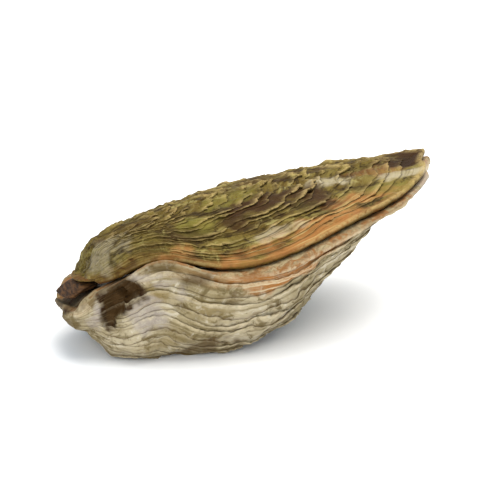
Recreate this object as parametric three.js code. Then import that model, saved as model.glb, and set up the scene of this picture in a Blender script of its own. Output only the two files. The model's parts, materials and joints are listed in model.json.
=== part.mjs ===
// A closed oyster at rest on the belly of its cupped valve: a lower valve, an upper valve and the ligament that
// joins them at the hinge. Each valve is a thin curved plate whose outside grows in shelves round its beak.
// Shell frame, before the shell is laid down: x runs from the hinge to the bill, y across, z up from the seam
// where the valves meet. The finished oyster has its origin under the middle of the shell, with +Z up.
import * as THREE from "three";

// Driving dimensions, in millimetres unless a name says otherwise
const SHELL_LENGTH = 86; // back edge of the lower valve to the tip of its bill
const SHELL_WIDTH = 48; // widest part of the lower valve
const HINGE_BACK = -4; // back edge of the lower valve; the upper valve's back edge is at about x = 0
const VALVE_GAP = 0.35; // clear space between the two valves along the seam
const LIP = 1.0; // thickness of each valve's edge
const REST_PITCH_DEG = 9; // how far the bill is raised when the shell lies on its belly
const REST_ROLL_DEG = 8; // how far the near side, -y, is raised
const SCAR_CUT = 3; // how much of the belly's lowest point the flat attachment scar takes off
const SCAR_WALL = 2.4; // thickness of the wall above the scar

// The seam: an upturned bill, a crest and a dip along the near side, and a slow wave along the far side.
// at and spread are shares of the shell's length, and power says how fast each fades towards the middle.
const BILL_LIFT = { height: 4, power: 2.6 };
const SEAM_CREST = { height: 9.4, at: 0.12, spread: 0.1 };
const SEAM_DIP = { height: -1.8, at: 0.38, spread: 0.13 };
const NEAR_POWER = 1.8;
const FAR_WAVE = { height: -1.3, cycles: 1.1, phase: 0.5, power: 1.6 };

// Plan outline
const BILL_TAPER = 0.55; // sharpens the outline towards the bill
const HINGE_TAPER = 0.1; // narrows the outline towards the hinge
const BOW = { swing: 6, balance: 0.62 }; // how the long axis bends towards the far side at the bill
const EDGE_WAVES = [
  { count: 5, height: 0.63, phase: 0.6 },
  { count: 8, height: 0.42, phase: 2.1 },
  { count: 13, height: 0.31, phase: 4 },
];

// Each valve: the outline of its outside, its beak (where growth starts) and how high it stands off the seam;
// then the outline and middle of its hollow, and the thickness of its wall
const LOWER = {
  side: -1,
  back: HINGE_BACK,
  front: HINGE_BACK + SHELL_LENGTH,
  width: SHELL_WIDTH,
  beak: { x: 2.5, y: 0, height: 7 },
  bulge: { height: 15, rise: 1.5, fallAtHinge: 0.5, fallAtBill: 1.95, spread: 0.6, lean: -0.16 },
  hollow: { back: 10, front: 76, width: 38, x: 36, y: 0 },
  wall: 2.8,
  phase: 0.4,
};
const UPPER = {
  side: 1,
  back: 0.5,
  front: HINGE_BACK + SHELL_LENGTH - 1.5,
  width: SHELL_WIDTH - 3.5,
  beak: { x: 5, y: 0.3, height: 4.2 },
  bulge: { height: 5, rise: 0.62, fallAtHinge: 0.7, fallAtBill: 1.1, spread: 0.7, lean: 0 },
  hollow: { back: 12, front: 74, width: 36, x: 38, y: 0 },
  wall: 2.4,
  phase: 2.0,
};
const BEAK_POWER = 1.3; // how fast the beak's height fades with growth
const BILL_POWER = 5; // how closely the bill's slower fall keeps to the bill
const HOLLOW_POWER = 6; // how suddenly the hollow's wall rises to the flat edge
const STEEP_LIMIT = 2; // most that a slope thickens the wall, measured straight up

// Growth shelves of the outside: where each one ends, as a share of the way from beak to edge, and its step down
const SHELVES = [
  { at: 0.2, step: 0.4 },
  { at: 0.38, step: 0.6 },
  { at: 0.55, step: 0.8 },
  { at: 0.7, step: 0.9 },
  { at: 0.83, step: 0.8 },
  { at: 0.93, step: 0.6 },
];
const SHELF_EDGE = 0.012; // how sharply a shelf ends, as a share of the way from beak to edge
const SHELF_WAVES = { height: 0.022, slow: 3, fast: 7, fastShare: 0.4, twist: 4 };

// The pit that holds the ligament between the two hinge plates, and the ligament in it
const PIT = { x: 1.2, y: 0, halfLength: 4.8, halfWidth: 6.8, depth: 1.35, slope: 1.2 };
const LIGAMENT = { length: 6.0, widthBack: 10.4, widthFront: 7.0, thick: 1.8, round: 1.2, bevel: 0.4 };

// Mesh density
const AROUND = 56;
const RING_STEP = 0.055;
const RIM_RINGS = 7;
const HOLLOW_RINGS = 11;
const SLOPE_REACH = 0.5; // how far each way a slope is measured

const TURN = 2 * Math.PI;
const clamp = THREE.MathUtils.clamp;
const smoothstep = THREE.MathUtils.smoothstep;
const swelling = ({ height, at, spread }, along) => height * Math.exp(-(((along - at) / spread) ** 2));

// Height of the seam above the shell frame's x-y plane
function seamHeight(x, y) {
  const along = clamp(x / SHELL_LENGTH, 0, 1);
  const across = clamp((-2 * y) / SHELL_WIDTH, -1.1, 1.1);
  const near = Math.max(across, 0) ** NEAR_POWER;
  const far = Math.max(-across, 0) ** FAR_WAVE.power;
  const nearSide = swelling(SEAM_CREST, along) + swelling(SEAM_DIP, along);
  const farSide = FAR_WAVE.height * Math.sin(TURN * FAR_WAVE.cycles * along + FAR_WAVE.phase);
  return BILL_LIFT.height * along ** BILL_LIFT.power + nearSide * near + farSide * far;
}

// Plan outline with the given back, front and width; turn 0 is the hinge and half a turn the bill
function outlinePoint(shape, turn, uneven) {
  const t = turn * TURN;
  const along = (1 - Math.cos(t)) / 2;
  const sine = Math.sin(t);
  const half = (shape.width / 2) * (1 - HINGE_TAPER * Math.cos(t));
  const bow = BOW.swing * (along ** 2 - BOW.balance * along);
  const x = shape.back + (shape.front - shape.back) * along;
  const y = half * Math.sign(sine) * Math.abs(sine) ** (1 + BILL_TAPER * along ** 2) + bow;
  const waves = EDGE_WAVES.reduce((sum, { count, height, phase }) => sum + height * Math.sin(count * t + phase), 0);
  const outward = uneven * waves * (0.35 + 0.65 * along);
  const fromMiddle = x - (shape.back + shape.front) / 2;
  const distance = Math.hypot(fromMiddle, y);
  return { x: x + (outward * fromMiddle) / distance, y: y + (outward * y) / distance };
}

// A hump that starts at 0, peaks at 1 and returns to 0 as share goes from 0 to 1
function hump(share, rise, fall) {
  const peak = rise / (rise + fall);
  return (share / peak) ** rise * ((1 - share) / (1 - peak)) ** fall;
}

// Sum of the shelves' saw teeth: each swells towards its edge, then steps down to the next
function shelfLift(growth) {
  let lift = 0;
  let start = 0;
  for (const { at, step } of SHELVES) {
    const swell = clamp((growth - start) / (at - start), 0, 1) ** 2;
    lift += step * swell * (1 - smoothstep(growth, at, at + SHELF_EDGE));
    start = at;
  }
  return lift;
}

// Uneven growth: the shelves bend a little towards and away from the edge
function growthWave(valve, growth, turn) {
  const { height, slow, fast, fastShare, twist } = SHELF_WAVES;
  const slowWave = (1 - fastShare) * Math.sin(slow * turn * TURN + valve.phase + twist * growth);
  const fastWave = fastShare * Math.sin(fast * turn * TURN + 2 * valve.phase);
  return height * (slowWave + fastWave) * Math.sin(Math.PI * growth);
}

// How far the outside stands off the seam without its shelves; angle is 0 towards the bill
function standOff(valve, reach, angle) {
  const { height, rise, fallAtHinge, fallAtBill, spread, lean } = valve.bulge;
  const forward = (1 + Math.cos(angle)) / 2;
  const fall = fallAtHinge + (fallAtBill - fallAtHinge) * forward ** BILL_POWER;
  const bulge = height * forward ** spread * (1 + lean * Math.sin(angle)) * hump(reach, rise, fall);
  return LIP + valve.beak.height * (1 - reach) ** BEAK_POWER + bulge;
}

// A point of the plan, moved to the seam and then off it on the valve's own side
function offSeam(valve, x, y, distance) {
  const sideGap = valve.side > 0 ? VALVE_GAP : 0;
  return new THREE.Vector3(x, y, seamHeight(x, y) + sideGap + valve.side * distance);
}

// A point of a valve's outside; growth runs from 0 at the beak to 1 at the edge
function outerPoint(valve, growth, turn) {
  const edge = outlinePoint(valve, turn, 1);
  const reach = growth + growthWave(valve, growth, turn);
  const dx = edge.x - valve.beak.x;
  const dy = edge.y - valve.beak.y;
  const angle = Math.atan2(dy, dx);
  const shelves = shelfLift(growth) * Math.sqrt((1 + Math.cos(angle)) / 2);
  const distance = standOff(valve, reach, angle) + shelves;
  return offSeam(valve, valve.beak.x + reach * dx, valve.beak.y + reach * dy, distance);
}

// The share of a turn at which the outline lies in the given direction from the beak
function turnTowards(valve, angle) {
  let low = 0;
  let high = 1;
  for (let i = 0; i < 24; i++) {
    const turn = (low + high) / 2;
    const edge = outlinePoint(valve, turn, 1);
    // The direction falls from half a turn at the hinge, through 0 at the bill, to minus half a turn
    if (Math.atan2(edge.y - valve.beak.y, edge.x - valve.beak.x) > angle) low = turn;
    else high = turn;
  }
  return low;
}

// How far the outside, without its shelves, stands off the seam above a point of the plan
function standOffAt(valve, x, y) {
  const angle = Math.atan2(y - valve.beak.y, x - valve.beak.x);
  const edge = outlinePoint(valve, turnTowards(valve, angle), 1);
  const whole = Math.hypot(edge.x - valve.beak.x, edge.y - valve.beak.y);
  const reach = Math.hypot(x - valve.beak.x, y - valve.beak.y) / whole;
  return standOff(valve, Math.min(reach, 1), angle);
}

// A point of the flat face that meets the other valve, with the ligament's pit sunk into it
function meetingPoint(valve, x, y) {
  const along = smoothstep(PIT.halfLength - Math.abs(x - PIT.x), 0, PIT.slope);
  const across = smoothstep(PIT.halfWidth - Math.abs(y - PIT.y), 0, PIT.slope);
  return offSeam(valve, x, y, PIT.depth * along * across);
}

// A point of the hollow; share runs from 1 at the hollow's edge to 0 in its middle
function hollowPoint(valve, share, turn) {
  const edge = outlinePoint(valve.hollow, turn, 0);
  const x = valve.hollow.x + share * (edge.x - valve.hollow.x);
  const y = valve.hollow.y + share * (edge.y - valve.hollow.y);
  const span = 2 * SLOPE_REACH;
  const slopeX = (standOffAt(valve, x + SLOPE_REACH, y) - standOffAt(valve, x - SLOPE_REACH, y)) / span;
  const slopeY = (standOffAt(valve, x, y + SLOPE_REACH) - standOffAt(valve, x, y - SLOPE_REACH)) / span;
  const wall = valve.wall * Math.min(Math.hypot(1, slopeX, slopeY), STEEP_LIMIT);
  return offSeam(valve, x, y, Math.max(standOffAt(valve, x, y) - wall, 0) * (1 - share ** HOLLOW_POWER));
}

// Growth values of the outside's rings, with one on each side of every shelf's step
function growthRings() {
  const rings = [];
  let start = 0;
  for (const { at } of SHELVES) {
    const foot = start === 0 ? 0 : start + SHELF_EDGE;
    const count = Math.round((at - foot) / RING_STEP);
    for (let i = start === 0 ? 1 : 0; i < count; i++) rings.push(foot + ((at - foot) * i) / count);
    rings.push(at);
    start = at;
  }
  return [...rings, start + SHELF_EDGE, 1];
}

// Joins rings of points, all with as many points, into one closed surface with a pole at each end
function closedSurface(firstPole, rings, lastPole, flipped) {
  const points = [firstPole, ...rings.flat(), lastPole];
  const last = points.length - 1;
  const at = (ring, i) => 1 + ring * AROUND + (i % AROUND);
  const index = [];
  const addFace = (a, b, c) => index.push(a, flipped ? c : b, flipped ? b : c);
  for (let i = 0; i < AROUND; i++) {
    addFace(0, at(0, i), at(0, i + 1));
    for (let ring = 0; ring + 1 < rings.length; ring++) {
      addFace(at(ring, i), at(ring + 1, i), at(ring + 1, i + 1));
      addFace(at(ring, i), at(ring + 1, i + 1), at(ring, i + 1));
    }
    addFace(at(rings.length - 1, i), last, at(rings.length - 1, i + 1));
  }
  const geometry = new THREE.BufferGeometry().setFromPoints(points);
  geometry.setIndex(index);
  geometry.computeVertexNormals();
  return geometry;
}

// A whole valve in its rest pose, cut flat at the floor's height, with its wall kept whole above the cut
function valveGeometry(valve, restTurn, floor) {
  const turns = Array.from({ length: AROUND }, (_, i) => i / AROUND);
  const settle = (point, lowest) => {
    point.applyQuaternion(restTurn);
    point.z = Math.max(point.z, lowest);
    return point;
  };
  const rings = growthRings().map((growth) => turns.map((turn) => settle(outerPoint(valve, growth, turn), floor)));
  for (let ring = 0; ring < RIM_RINGS; ring++) {
    const points = turns.map((turn) => {
      const outside = outlinePoint(valve, turn, 1);
      const inside = outlinePoint(valve.hollow, turn, 0);
      const x = THREE.MathUtils.lerp(outside.x, inside.x, ring / RIM_RINGS);
      const y = THREE.MathUtils.lerp(outside.y, inside.y, ring / RIM_RINGS);
      return settle(meetingPoint(valve, x, y), floor);
    });
    rings.push(points);
  }
  for (let ring = 0; ring < HOLLOW_RINGS; ring++) {
    const share = 1 - ring / HOLLOW_RINGS;
    rings.push(turns.map((turn) => settle(hollowPoint(valve, share, turn), floor + SCAR_WALL)));
  }
  const beak = settle(outerPoint(valve, 0, 0), floor);
  const middle = settle(hollowPoint(valve, 0, 0), floor + SCAR_WALL);
  return closedSurface(beak, rings, middle, valve.side > 0);
}

// The rubbery block between the hinge plates, wider at its back
function ligamentGeometry(restTurn) {
  const { length, widthBack, widthFront, thick, round, bevel } = LIGAMENT;
  const end = length / 2;
  const back = widthBack / 2;
  const front = widthFront / 2;
  const shape = new THREE.Shape();
  shape.moveTo(-end, round - back);
  shape.quadraticCurveTo(-end, -back, round - end, -back);
  shape.lineTo(end - round, -front);
  shape.quadraticCurveTo(end, -front, end, round - front);
  shape.lineTo(end, front - round);
  shape.quadraticCurveTo(end, front, end - round, front);
  shape.lineTo(round - end, back);
  shape.quadraticCurveTo(-end, back, -end, back - round);
  shape.closePath();
  const geometry = new THREE.ExtrudeGeometry(shape, {
    depth: thick - 2 * bevel,
    bevelThickness: bevel,
    bevelSize: bevel,
    bevelOffset: -bevel,
    bevelSegments: 2,
    curveSegments: 4,
  });
  geometry.translate(PIT.x, PIT.y, VALVE_GAP / 2 - thick / 2 + bevel);
  return geometry.applyQuaternion(restTurn);
}

function namedMesh(name, geometry, color, roughness) {
  const mesh = new THREE.Mesh(geometry, new THREE.MeshStandardMaterial({ color, roughness, metalness: 0 }));
  mesh.name = name;
  return mesh;
}

// Pitch lifts the bill, then roll lifts the near side
const pitch = THREE.MathUtils.degToRad(REST_PITCH_DEG);
const roll = THREE.MathUtils.degToRad(REST_ROLL_DEG);
const restTurn = new THREE.Quaternion().setFromEuler(new THREE.Euler(-roll, -pitch, 0, "XYZ"));

// The lowest point of the rounded belly sets how high the scar is cut
const roundBelly = valveGeometry(LOWER, restTurn, -Infinity);
roundBelly.computeBoundingBox();
const floor = roundBelly.boundingBox.min.z + SCAR_CUT;

const oyster = new THREE.Group();
oyster.add(namedMesh("lower_valve", valveGeometry(LOWER, restTurn, floor), 0xb3a88e, 0.8));
oyster.add(namedMesh("upper_valve", valveGeometry(UPPER, restTurn, floor), 0x7a6e45, 0.8));
oyster.add(namedMesh("ligament", ligamentGeometry(restTurn), 0x3a2413, 0.6));

// The origin goes under the middle of the shell, at the height of the scar
const box = new THREE.Box3().setFromObject(oyster, true);
const middle = box.getCenter(new THREE.Vector3());
oyster.position.set(-middle.x, -middle.y, -box.min.z);

export default oyster;
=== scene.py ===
"""A whole, closed oyster lying on its cupped valve.

Sizes are in millimetres in the shell's own frame, where x runs from the hinge to the bill, y across
with the near side at -y, and z up from the seam where the valves meet. ShellPlan lays that frame down
in the row's frame, in metres.
"""
import json
import logging
import math
from dataclasses import dataclass, field
from enum import Enum
from typing import Optional, Sequence

import bmesh
import bpy
import numpy as np
from mathutils import Matrix, Vector, noise


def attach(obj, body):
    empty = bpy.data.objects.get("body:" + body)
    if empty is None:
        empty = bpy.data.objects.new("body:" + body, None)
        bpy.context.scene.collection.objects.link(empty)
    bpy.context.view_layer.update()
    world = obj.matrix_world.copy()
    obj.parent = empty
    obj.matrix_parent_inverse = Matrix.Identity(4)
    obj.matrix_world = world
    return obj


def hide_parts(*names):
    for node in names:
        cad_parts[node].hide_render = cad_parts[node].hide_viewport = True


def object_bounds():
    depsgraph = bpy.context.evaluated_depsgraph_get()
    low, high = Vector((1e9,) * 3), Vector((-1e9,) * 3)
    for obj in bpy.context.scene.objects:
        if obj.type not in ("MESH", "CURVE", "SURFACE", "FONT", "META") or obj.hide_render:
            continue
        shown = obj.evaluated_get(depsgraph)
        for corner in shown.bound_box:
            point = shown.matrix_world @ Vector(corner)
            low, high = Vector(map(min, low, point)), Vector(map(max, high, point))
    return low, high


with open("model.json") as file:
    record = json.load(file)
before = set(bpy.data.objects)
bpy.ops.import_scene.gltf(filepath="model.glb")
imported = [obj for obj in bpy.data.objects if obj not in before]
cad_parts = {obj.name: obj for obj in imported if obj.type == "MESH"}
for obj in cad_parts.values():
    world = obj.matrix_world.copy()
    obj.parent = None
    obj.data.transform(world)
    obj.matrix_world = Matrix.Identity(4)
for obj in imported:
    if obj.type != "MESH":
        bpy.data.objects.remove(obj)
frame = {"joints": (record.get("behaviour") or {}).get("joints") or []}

LOG = logging.getLogger("oyster")
CAD_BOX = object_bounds()
MM = 0.001
TURN = 2 * math.pi

TINY = 1e-12

Field = np.ndarray
Socket = bpy.types.NodeSocket
Triple = tuple[float, float, float]


def smoothstep(value: Field, low: float, high: float) -> Field:
    """Give 0 below low, 1 above high and a smooth rise between.

    Args:
        value: Numbers to map.
        low: Where the rise starts.
        high: Where the rise ends.

    Returns:
        The mapped numbers.
    """
    share = np.clip((value - low) / (high - low), 0.0, 1.0)
    return share * share * (3 - 2 * share)


def bump(value: Field, at: float, spread: float) -> Field:
    """Give a bell curve of height 1 centred at the given value.

    Args:
        value: Numbers to map.
        at: Centre of the bell.
        spread: Distance at which it has fallen to 1/e.

    Returns:
        The mapped numbers.
    """
    return np.exp(-(((value - at) / spread) ** 2))


def unit(vectors: Field) -> Field:
    """Scale vectors to a length of 1, leaving those with no length alone."""
    return vectors / (np.linalg.norm(vectors, axis=-1, keepdims=True) + TINY)


def rough_field(points: Field, size: float, octaves: int, seed: float, roughness: float = 0.9) -> Field:
    """Sample fractal noise at points.

    Args:
        points: Array of points, the last axis being x, y and z, in millimetres.
        size: Size of the largest lumps, in millimetres.
        octaves: How many times finer noise is added.
        seed: Offset that makes each field its own.
        roughness: Fractal dimension, where smaller is rougher.

    Returns:
        One number per point, mostly between -1 and 1.
    """
    flat = points.reshape(-1, 3) / size + np.array((seed, 0.7 * seed, 1.3 * seed))
    finer = 2.1
    values = [noise.fractal(p, roughness, finer, octaves, noise_basis="PERLIN_NEW") for p in flat.tolist()]
    return np.array(values).reshape(points.shape[:-1])


@dataclass(frozen=True)
class Swell:
    """A smooth rise or fall of the seam along one side of the shell."""

    height: float
    at: float
    spread: float

    def along(self, share: Field) -> Field:
        """Give the swell's height at shares of the shell's length."""
        return self.height * bump(share, self.at, self.spread)


@dataclass(frozen=True)
class EdgeWave:
    """One wave of the plan outline's unevenness."""

    count: int
    height: float
    phase: float


@dataclass(frozen=True)
class ShellPlan:
    """What both valves share: the seam between them, their plan outline and how the shell lies at rest."""

    length: float = 86.0
    width: float = 48.0
    gap: float = 0.35
    lip: float = 1.0
    pitch: float = math.radians(9)
    roll: float = math.radians(8)
    bill_lift: float = 4.0
    bill_power: float = 2.6
    crest: Swell = Swell(9.4, 0.12, 0.1)
    dip: Swell = Swell(-1.8, 0.38, 0.13)
    near_power: float = 1.8
    far_height: float = -1.3
    far_cycles: float = 1.1
    far_phase: float = 0.5
    far_power: float = 1.6
    bill_taper: float = 0.55
    hinge_taper: float = 0.1
    bow: float = 6.0
    bow_balance: float = 0.62
    hinge_waviness: float = 0.35
    waves: tuple[EdgeWave, ...] = (
        EdgeWave(5, 0.63, 0.6),
        EdgeWave(8, 0.42, 2.1),
        EdgeWave(13, 0.31, 4.0),
    )
    pivot: Triple = (0.5, 0.0, 0.35)

    def seam(self, x: Field, y: Field) -> Field:
        """Give the seam's height above the shell frame's x-y plane.

        Args:
            x: Distances along the shell.
            y: Distances across the shell.

        Returns:
            The heights.
        """
        along = np.clip(x / self.length, 0.0, 1.0)
        past_edge = 1.1
        across = np.clip(-2 * y / self.width, -past_edge, past_edge)
        near = np.maximum(across, 0.0) ** self.near_power
        far = np.maximum(-across, 0.0) ** self.far_power
        near_side = self.crest.along(along) + self.dip.along(along)
        far_side = self.far_height * np.sin(TURN * self.far_cycles * along + self.far_phase)
        return self.bill_lift * along**self.bill_power + near_side * near + far_side * far

    def outline(
        self, back: float, front: float, width: float, turn: Field, uneven: float = 1.0
    ) -> tuple[Field, Field]:
        """Give points of a plan outline, where turn 0 is the hinge and half a turn the bill.

        Args:
            back: Where the outline starts along the shell.
            front: Where it ends.
            width: Its greatest width.
            turn: Shares of a turn round it.
            uneven: How much of the natural unevenness it has.

        Returns:
            The points' x and y.
        """
        t = turn * TURN
        along = (1 - np.cos(t)) / 2
        sine = np.sin(t)
        half = width / 2 * (1 - self.hinge_taper * np.cos(t))
        bow = self.bow * (along**2 - self.bow_balance * along)
        x = back + (front - back) * along
        y = half * np.sign(sine) * np.abs(sine) ** (1 + self.bill_taper * along**2) + bow
        waviness = self.hinge_waviness + (1 - self.hinge_waviness) * along
        outward = uneven * sum(w.height * np.sin(w.count * t + w.phase) for w in self.waves) * waviness
        from_middle = x - (back + front) / 2
        distance = np.hypot(from_middle, y)
        return x + outward * from_middle / distance, y + outward * y / distance

    def rest_turn(self) -> Matrix:
        """Give the turn that lays the shell on its belly."""
        return Matrix.Rotation(-self.roll, 3, "X") @ Matrix.Rotation(-self.pitch, 3, "Y")

    def to_row(self, points: Field) -> Field:
        """Move points from the shell's frame to the row's frame, with the hinge line where the frame has it.

        Args:
            points: Points in millimetres, the last axis being x, y and z.

        Returns:
            The points in metres.
        """
        turn = np.array(self.rest_turn())
        hinge = np.array(frame["joints"][0]["pos_m"])
        return (points - np.array(self.pivot)) @ turn.T * MM + hinge


@dataclass(frozen=True)
class Bulge:
    """How a valve's outside swells between its beak and its edge."""

    height: float
    rise: float
    fall_at_hinge: float
    fall_at_bill: float
    spread: float
    lean: float
    bill_power: float = 5.0

    def stand_off(self, reach: Field, angle: Field) -> Field:
        """Give how far the swelling stands off the seam.

        Args:
            reach: Shares of the way from the beak to the edge.
            angle: Directions from the beak, 0 being towards the bill.

        Returns:
            The distances in millimetres.
        """
        forward = (1 + np.cos(angle)) / 2
        fall = self.fall_at_hinge + (self.fall_at_bill - self.fall_at_hinge) * forward**self.bill_power
        peak = self.rise / (self.rise + fall)
        hump = (reach / peak) ** self.rise * ((1 - reach) / (1 - peak)) ** fall
        return self.height * forward**self.spread * (1 + self.lean * np.sin(angle)) * hump


@dataclass(frozen=True)
class Stroke:
    """A smooth lump, or a hollow where its height is negative, pressed into a valve's outside."""

    centre: Triple
    size: Triple
    height: float
    edge: float = 0.0

    def lift(self, points: Field) -> Field:
        """Give how far the stroke lifts points of the shell frame.

        Args:
            points: Points, the last axis being x, y and z.

        Returns:
            The lifts in millimetres.
        """
        reach = np.linalg.norm((points - np.array(self.centre)) / np.array(self.size), axis=-1)
        return self.height * (1 - smoothstep(reach, self.edge, 1.0))


class Tint(Enum):
    """The colour marks laid over a valve's outside."""

    # Dark also stands for painted shade in the lower valve's notch and along the seam at its hinge end.
    DARK = "dark"
    PALE = "pale"
    WARM = "warm"
    MOSS = "moss"


@dataclass(frozen=True)
class Stain:
    """A ragged patch of one tint on a valve's outside."""

    tint: Tint
    centre: Triple
    size: Triple
    strength: float
    raggedness: float = 0.7
    solid: float = 0.45

    def cover(self, points: Field, ragged: Field) -> Field:
        """Give how strongly the stain covers points of the shell frame.

        Args:
            points: Points, the last axis being x, y and z.
            ragged: Noise that breaks up the patch's border.

        Returns:
            The strengths, from 0 to 1.
        """
        reach = np.linalg.norm((points - np.array(self.centre)) / np.array(self.size), axis=-1)
        return self.strength * (1 - smoothstep(reach + self.raggedness * ragged, self.solid, 1.0))


@dataclass(frozen=True)
class Band:
    """A warm band along the edge, widest and strongest at one place round it."""

    width: float
    at: float
    spread: float
    elsewhere: float
    narrowest: float = 0.35
    raggedness: float = 0.9
    solid: float = 0.7
    gone: float = 1.15

    def cover(self, margin: Field, turn: Field, ragged: Field) -> Field:
        """Give how strongly the band covers points.

        Args:
            margin: Their distances from the edge, in millimetres.
            turn: Their turns round the valve.
            ragged: Noise that breaks up the band's border.

        Returns:
            The strengths, from 0 to 1.
        """
        strength = self.elsewhere + (1 - self.elsewhere) * bump(turn, self.at, self.spread)
        width = self.width * (self.narrowest + (1 - self.narrowest) * strength)
        return strength * (1 - smoothstep(margin / width + self.raggedness * ragged, self.solid, self.gone))


@dataclass(frozen=True)
class Shelf:
    """One growth shelf: where it ends between beak and edge, its step down, and how far its lip juts out."""

    at: float
    step: float
    jut: float


@dataclass(frozen=True)
class ShelfHabit:
    """How unevenly the growth shelves follow each other from the beak to the edge."""

    place_stride: float = 0.618
    step_stride: float = 0.382
    unevenness: float = 0.55
    crowding: float = 0.85
    least: float = 0.45
    spread: float = 1.05
    rarity: float = 1.5
    early: float = 0.4


def shelf_run(count: int, step: float, jut: float) -> tuple[Shelf, ...]:
    """List growth shelves of uneven spacing and height, crowded towards the edge.

    Args:
        count: How many shelves there are.
        step: A middling step, in millimetres.
        jut: A middling jut of a lip, in millimetres.

    Returns:
        The shelves from the beak to the edge.
    """
    habit = ShelfHabit()
    shelves = []
    for number in range(count):
        uneven = (habit.place_stride * (number + 1)) % 1.0
        shift = habit.unevenness * (uneven - 0.5) if number + 1 < count else 0.0
        at = ((number + 1 + shift) / count) ** habit.crowding
        weight = habit.least + habit.spread * ((habit.step_stride * (number + 2)) % 1.0) ** habit.rarity
        early = habit.early + (1 - habit.early) * min(at / habit.early, 1.0)
        shelves.append(Shelf(at, step * weight * early, jut * weight * early))
    return tuple(shelves)


class Zone(Enum):
    """The stretches of a valve's section, from the beak outside to the middle of the hollow."""

    OUTSIDE = "outside"
    LIP = "lip"
    RIM = "rim"
    HOLLOW = "hollow"


@dataclass(frozen=True)
class Ring:
    """One ring of a valve's mesh: its zone, its place in the zone, and its place on a shelf's section."""

    zone: Zone
    share: float
    shelf: int = 0
    lift: float = 0.0
    slide: float = 0.0


@dataclass(frozen=True)
class Pigment:
    """A colour as it looks in plain light, each channel from 0 to 255."""

    red: int
    green: int
    blue: int

    def linear(self) -> tuple[float, float, float, float]:
        """Undo the standard display curve.

        Returns:
            The colour in the shader's own scale, with full opacity.
        """
        full, knee, slope, shift, power = 255, 0.04045, 12.92, 0.055, 2.4
        channels = (self.red / full, self.green / full, self.blue / full)
        mapped = [c / slope if c <= knee else ((c + shift) / (1 + shift)) ** power for c in channels]
        return (*mapped, 1.0)


@dataclass(frozen=True)
class Veil:
    """Where noise lays one colour over another: its values for no and full cover, and how strong that is."""

    clear: float
    full: float
    strength: float


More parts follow.
